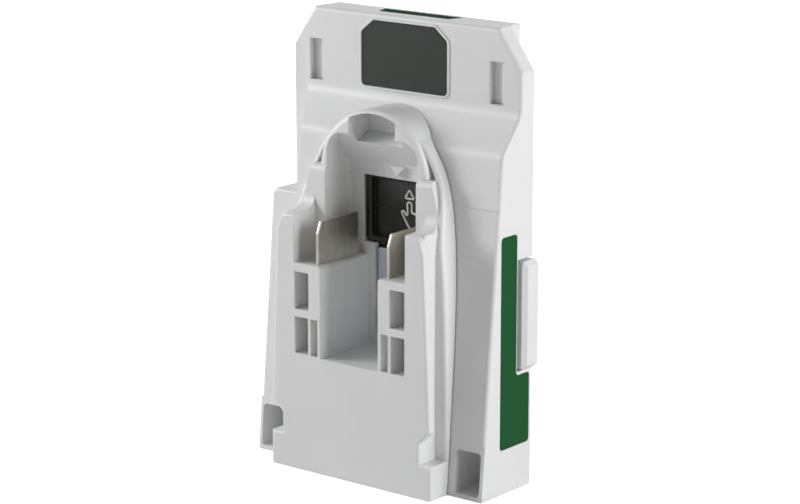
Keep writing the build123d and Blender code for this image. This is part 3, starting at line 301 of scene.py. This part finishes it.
def insulation(name, colour):
    """Extruded wire insulation: soft gloss with faint die lines."""
    s = Shader(name)
    lines = s.noise(*DIE_LINES, s.mapped(ALONG_PLATE))
    tint = s.blend(s.spread(lines, 0.0, 1.0), colour, darkened(colour, DIE_LINE_SHADE))
    sheen = s.spread(lines, INSULATION_SMOOTHEST, INSULATION_ROUGHEST)
    relief = s.bump(lines, DIE_LINE_STRENGTH, DIE_LINE_DEPTH)
    return s.finish(tint, sheen, relief, Specular_IOR_Level=PLAIN_GLOSS)


def board_lacquer(name, colour, shade):
    """Board lacquer over copper tracks that run in lanes."""
    s = Shader(name)
    wave = s.nodes.new("ShaderNodeTexWave")
    wave.inputs["Scale"].default_value = TRACK_LANES
    wave.inputs["Distortion"].default_value = TRACK_BENDS
    s.links.new(s.place, wave.inputs["Vector"])
    lanes = s.spread(wave.outputs["Fac"], 0.0, 1.0, LANE_LOW, LANE_HIGH)
    sheen = s.spread(s.noise(*LACQUER), LACQUER_SMOOTHEST, LACQUER_ROUGHEST)
    relief = s.bump(lanes, TRACK_STRENGTH, TRACK_DEPTH)
    return s.finish(s.blend(lanes, colour, shade), sheen, relief, Specular_IOR_Level=PLAIN_GLOSS)


white = moulded("housing_plastic", (0.80, 0.805, 0.80), (0.77, 0.775, 0.775), 0.42)
dock_white = moulded("dock_plastic", (0.78, 0.785, 0.78), (0.75, 0.755, 0.755), 0.40)
rear_white = moulded("rear_plastic", (0.80, 0.805, 0.80), (0.77, 0.775, 0.775), 0.42)
black = moulded("black_plastic", (0.013, 0.015, 0.013), (0.016, 0.018, 0.016), 0.22, gloss=0.45)
component = moulded("component_moulding", (0.03, 0.03, 0.032), (0.04, 0.04, 0.042), 0.55)
sign_white = moulded("sign_ink", (0.86, 0.88, 0.88), (0.82, 0.84, 0.84), 0.45, edge=FILM_EDGE)
blade_metal = rolled_metal("blade_metal", (0.60, 0.57, 0.50), (0.47, 0.45, 0.38), 0.42, ALONG_SHEET)
# Carriage steel: the bluish tint in its colour is a painted reflection, not a plating
blue_reflection_steel = rolled_metal("steel_painted_blue_reflection", (0.62, 0.66, 0.74), (0.55, 0.60, 0.70), 0.42, ALONG_PLATE)
steel = rolled_metal("screw_steel", (0.55, 0.55, 0.56), (0.45, 0.45, 0.46), 0.3, ACROSS_SCREW)
spring_steel = rolled_metal("spring_steel", (0.62, 0.62, 0.63), (0.5, 0.5, 0.52), 0.25, EVEN)
dark_film = printed_film("dark_film", (0.026, 0.029, 0.026), (0.031, 0.034, 0.031), 0.42, 0.3)
green_film = printed_film("green_film", (0.006, 0.074, 0.018), (0.008, 0.084, 0.022), 0.5, 0.12)
top_film = printed_film("dark_green_film", (0.004, 0.030, 0.010), (0.005, 0.038, 0.014), 0.7, 0.02)
black_wire = insulation("black_insulation", (0.02, 0.02, 0.02))
red_wire = insulation("red_insulation", (0.5, 0.02, 0.02))
yellow_wire = insulation("yellow_insulation", (0.65, 0.5, 0.04))
board_green = board_lacquer("board_lacquer", (0.012, 0.10, 0.04), (0.02, 0.16, 0.07))

FINISHES = {
    white: ("front_cover", "latch_bar_left", "latch_bar_right"),
    rear_white: ("rear_cover",),
    dock_white: ("battery_dock",),
    black: ("release_slider", "slider_keeper", "contact_block"),
    component: ("fuse", "transistors"),
    blade_metal: (
        "blade_negative",
        "blade_positive",
        "rear_contact_negative",
        "rear_contact_signal",
        "rear_contact_positive",
    ),
    blue_reflection_steel: ("carriage",),
    spring_steel: ("slider_spring_left", "slider_spring_right"),
    board_green: ("circuit_board",),
    black_wire: ("lead_negative", "output_lead_negative"),
    red_wire: ("lead_positive", "output_lead_positive"),
    yellow_wire: ("output_lead_signal",),
    dark_film: ("front_label",),
    green_film: ("side_label_left", "side_label_right"),
    top_film: ("top_label",),
}
finish_of = {name: finish for finish, names in FINISHES.items() for name in names}
for name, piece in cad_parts.items():
    piece.data.materials.clear()
    piece.data.materials.append(finish_of.get(name, steel))


def opened_tree(name, kinds):
    """A Geometry Nodes tree with named inputs: the tree, their outputs inside it and their identifiers."""
    tree = bpy.data.node_groups.new(name, "GeometryNodeTree")
    sockets = {
        title: tree.interface.new_socket(title, in_out="INPUT", socket_type=kind).identifier
        for title, kind in kinds.items()
    }
    tree.interface.new_socket("Shape", in_out="OUTPUT", socket_type="NodeSocketGeometry")
    return tree, tree.nodes.new("NodeGroupInput").outputs, sockets


def closed_tree(tree, given, shape):
    """Ends a tree: its shape is realized, takes the Finish input and is handed out."""
    joined = tree.nodes.new("GeometryNodeRealizeInstances")
    paint = tree.nodes.new("GeometryNodeSetMaterial")
    end = tree.nodes.new("NodeGroupOutput")
    tree.links.new(shape, joined.inputs["Geometry"])
    tree.links.new(joined.outputs["Geometry"], paint.inputs["Geometry"])
    tree.links.new(given["Finish"], paint.inputs["Material"])
    tree.links.new(paint.outputs["Geometry"], end.inputs["Shape"])


def round_section(tree, radius, sides):
    """A ring that Curve to Mesh sweeps, and the node that sweeps it."""
    ring = tree.nodes.new("GeometryNodeCurvePrimitiveCircle")
    ring.inputs["Resolution"].default_value = sides
    swept = tree.nodes.new("GeometryNodeCurveToMesh")
    tree.links.new(radius, ring.inputs["Radius"])
    tree.links.new(ring.outputs["Curve"], swept.inputs["Profile Curve"])
    return swept


def raised_line_tree():
    """A round bead along drawn edges, its corners softened."""
    kinds = {
        "Outline": "NodeSocketGeometry",
        "Bead Radius": "NodeSocketFloat",
        "Corner Radius": "NodeSocketFloat",
        "Finish": "NodeSocketMaterial",
    }
    tree, given, sockets = opened_tree("raised_line", kinds)
    path = tree.nodes.new("GeometryNodeMeshToCurve")
    soften = tree.nodes.new("GeometryNodeFilletCurve")
    soften.mode = "POLY"
    soften.inputs["Count"].default_value = BEAD_CORNER_POINTS
    soften.inputs["Limit Radius"].default_value = True
    bead = round_section(tree, given["Bead Radius"], BEAD_SIDES)
    for source, target in (
        (given["Outline"], path.inputs["Mesh"]),
        (path.outputs["Curve"], soften.inputs["Curve"]),
        (given["Corner Radius"], soften.inputs["Radius"]),
        (soften.outputs["Curve"], bead.inputs["Curve"]),
    ):
        tree.links.new(source, target)
    closed_tree(tree, given, bead.outputs["Mesh"])
    return tree, sockets


def coil_tree():
    """An unbroken wire helix with closed ends, standing on a foot point."""
    kinds = {
        "Turns": "NodeSocketFloat",
        "Coil Radius": "NodeSocketFloat",
        "Coil Height": "NodeSocketFloat",
        "Wire Radius": "NodeSocketFloat",
        "Foot": "NodeSocketVector",
        "Finish": "NodeSocketMaterial",
    }
    tree, given, sockets = opened_tree("coil", kinds)
    helix = tree.nodes.new("GeometryNodeCurveSpiral")
    helix.inputs["Resolution"].default_value = SPRING_TURN_POINTS
    wire = round_section(tree, given["Wire Radius"], SPRING_WIRE_SIDES)
    wire.inputs["Fill Caps"].default_value = True
    placed = tree.nodes.new("GeometryNodeTransform")
    for source, target in (
        (given["Turns"], helix.inputs["Rotations"]),
        (given["Coil Radius"], helix.inputs["Start Radius"]),
        (given["Coil Radius"], helix.inputs["End Radius"]),
        (given["Coil Height"], helix.inputs["Height"]),
        (helix.outputs["Curve"], wire.inputs["Curve"]),
        (wire.outputs["Mesh"], placed.inputs["Geometry"]),
        (given["Foot"], placed.inputs["Translation"]),
    ):
        tree.links.new(source, target)
    closed_tree(tree, given, placed.outputs["Geometry"])
    return tree, sockets


def grown_piece(name, drawn, tree, sockets, values):
    """A plain mesh object from what a tree makes of a drawn mesh and its named values."""
    carrier = bpy.data.objects.new(name + "_drawn", drawn)
    bpy.context.scene.collection.objects.link(carrier)
    step = carrier.modifiers.new("shape", "NODES")
    step.node_group = tree
    for title, value in values.items():
        step[sockets[title]] = value
    evaluated = carrier.evaluated_get(bpy.context.evaluated_depsgraph_get())
    mesh = bpy.data.meshes.new_from_object(evaluated)
    bpy.data.objects.remove(carrier)
    mesh.name = name
    for face in mesh.polygons:
        face.use_smooth = True
    piece = bpy.data.objects.new(name, mesh)
    bpy.context.scene.collection.objects.link(piece)
    return piece


RAISED_LINE, RAISED_LINE_SOCKETS = raised_line_tree()
COIL, COIL_SOCKETS = coil_tree()


def raised_outline(name, points, carrier, finish):
    """Closed bead through points in the plane of the slider's floor, carried by a moving body."""
    drawn = bpy.data.meshes.new(name + "_outline")
    count = len(points)
    corners = [(x, SIGN_FLOOR_Y, z) for x, z in points]
    drawn.from_pydata(corners, [(i, (i + 1) % count) for i in range(count)], [])
    values = {"Bead Radius": BEAD_RADIUS, "Corner Radius": BEAD_CORNER, "Finish": finish}
    piece = grown_piece(name, drawn, RAISED_LINE, RAISED_LINE_SOCKETS, values)
    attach(piece, carrier)


def return_spring(name, x, node):
    """Coil spring standing from its seat up to its stop, carried by the housing in place of the hidden
    spring part.
    """
    foot = SPRING_SEAT + SPRING_END_GAP + SPRING_WIRE_RADIUS
    values = {
        "Turns": float(SPRING_TURNS),
        "Coil Radius": SPRING_RADIUS,
        "Coil Height": SPRING_STOP - SPRING_END_GAP - SPRING_WIRE_RADIUS - foot,
        "Wire Radius": SPRING_WIRE_RADIUS,
        "Foot": (x, SPRING_Y, foot),
        "Finish": spring_steel,
    }
    piece = grown_piece(name, bpy.data.meshes.new(name + "_start"), COIL, COIL_SOCKETS, values)
    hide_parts(node)
    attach(piece, "housing")
    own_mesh(piece)


arrow_points = [
    (SIGN_X - ARROW_HALF_WIDTH, ARROW_FOOT),
    (SIGN_X, ARROW_TOP),
    (SIGN_X + ARROW_HALF_WIDTH, ARROW_FOOT),
]
hand_points = [
    (SIGN_X + across * HAND_WIDTH, HAND_FOOT + up * (FINGER_TOP - HAND_FOOT))
    for across, up in HAND_SHARES
]
raised_outline("sign_arrow", arrow_points, "slider", sign_white)
raised_outline("sign_hand", hand_points, "slider", sign_white)
return_spring("return_spring_left", -SPRING_X, "slider_spring_left")
return_spring("return_spring_right", SPRING_X, "slider_spring_right")


def floor(reach, height):
    """Pale floor that reads as white to the camera and still takes the object's shadow."""
    s = Shader("pale_floor")
    s.surface.inputs["Base Color"].default_value = (FLOOR_GREY, FLOOR_GREY, FLOOR_GREY, 1.0)
    s.surface.inputs["Roughness"].default_value = FLOOR_ROUGHNESS
    s.surface.inputs["Emission Color"].default_value = (1.0, 1.0, 1.0, 1.0)
    ray = s.nodes.new("ShaderNodeLightPath")
    glow = s.spread(ray.outputs["Is Camera Ray"], 0.0, FLOOR_GLOW, 0.0, 1.0)
    s.links.new(glow, s.surface.inputs["Emission Strength"])
    mesh = bpy.data.meshes.new("floor")
    turns = ((-1, -1), (1, -1), (1, 1), (-1, 1))
    corners = [(x * reach, y * reach, height) for x, y in turns]
    mesh.from_pydata(corners, [], [(0, 1, 2, 3)])
    mesh.materials.append(s.material)
    piece = bpy.data.objects.new("floor", mesh)
    bpy.context.scene.collection.objects.link(piece)


def surround():
    """White world for the camera and for gloss, dimmer as a light."""
    world = bpy.data.worlds.new("studio")
    bpy.context.scene.world = world
    world.use_nodes = True
    nodes, links = world.node_tree.nodes, world.node_tree.links
    ray = nodes.new("ShaderNodeLightPath")
    seen = nodes.new("ShaderNodeMath")
    seen.operation = "MAXIMUM"
    links.new(ray.outputs["Is Camera Ray"], seen.inputs[0])
    links.new(ray.outputs["Is Glossy Ray"], seen.inputs[1])
    level = nodes.new("ShaderNodeMapRange")
    level.inputs["To Min"].default_value = SKY_LEVEL
    level.inputs["To Max"].default_value = 1.0
    links.new(seen.outputs["Value"], level.inputs["Value"])
    nodes["Background"].inputs["Color"].default_value = (1.0, 1.0, 1.0, 1.0)
    links.new(level.outputs["Result"], nodes["Background"].inputs["Strength"])


def softbox(name, place, size, power):
    """Square soft light aimed at the middle of the object."""
    lamp = bpy.data.lights.new(name, "AREA")
    lamp.size = size
    lamp.energy = power
    piece = bpy.data.objects.new(name, lamp)
    bpy.context.scene.collection.objects.link(piece)
    piece.location = place
    aim = Vector((0.0, 0.0, TARGET_HEIGHT)) - Vector(place)
    piece.rotation_euler = aim.to_track_quat("-Z", "Y").to_euler()


floor(FLOOR_REACH, FLOOR_HEIGHT)
surround()
for lamp_name, (place, size, power) in LAMPS.items():
    softbox(lamp_name, place, size, power)

# Camera
camera_data = bpy.data.cameras.new("camera")
camera_data.lens = CAMERA_LENS
camera_data.sensor_width = CAMERA_SENSOR
camera_data.sensor_fit = "HORIZONTAL"
camera_data.clip_start = CAMERA_NEAREST
camera = bpy.data.objects.new("camera", camera_data)
bpy.context.scene.collection.objects.link(camera)
back = Vector(
    (
        math.sin(CAMERA_AZIMUTH) * math.cos(CAMERA_ELEVATION),
        -math.cos(CAMERA_AZIMUTH) * math.cos(CAMERA_ELEVATION),
        math.sin(CAMERA_ELEVATION),
    )
)
across = Vector((math.cos(CAMERA_AZIMUTH), math.sin(CAMERA_AZIMUTH), 0.0))
target = across * TARGET_ACROSS + Vector((0.0, 0.0, TARGET_HEIGHT))
camera.location = target + back * CAMERA_DISTANCE
camera.rotation_euler = (-back).to_track_quat("-Z", "Y").to_euler()
bpy.context.scene.camera = camera
bpy.context.scene.view_settings.view_transform = "Standard"
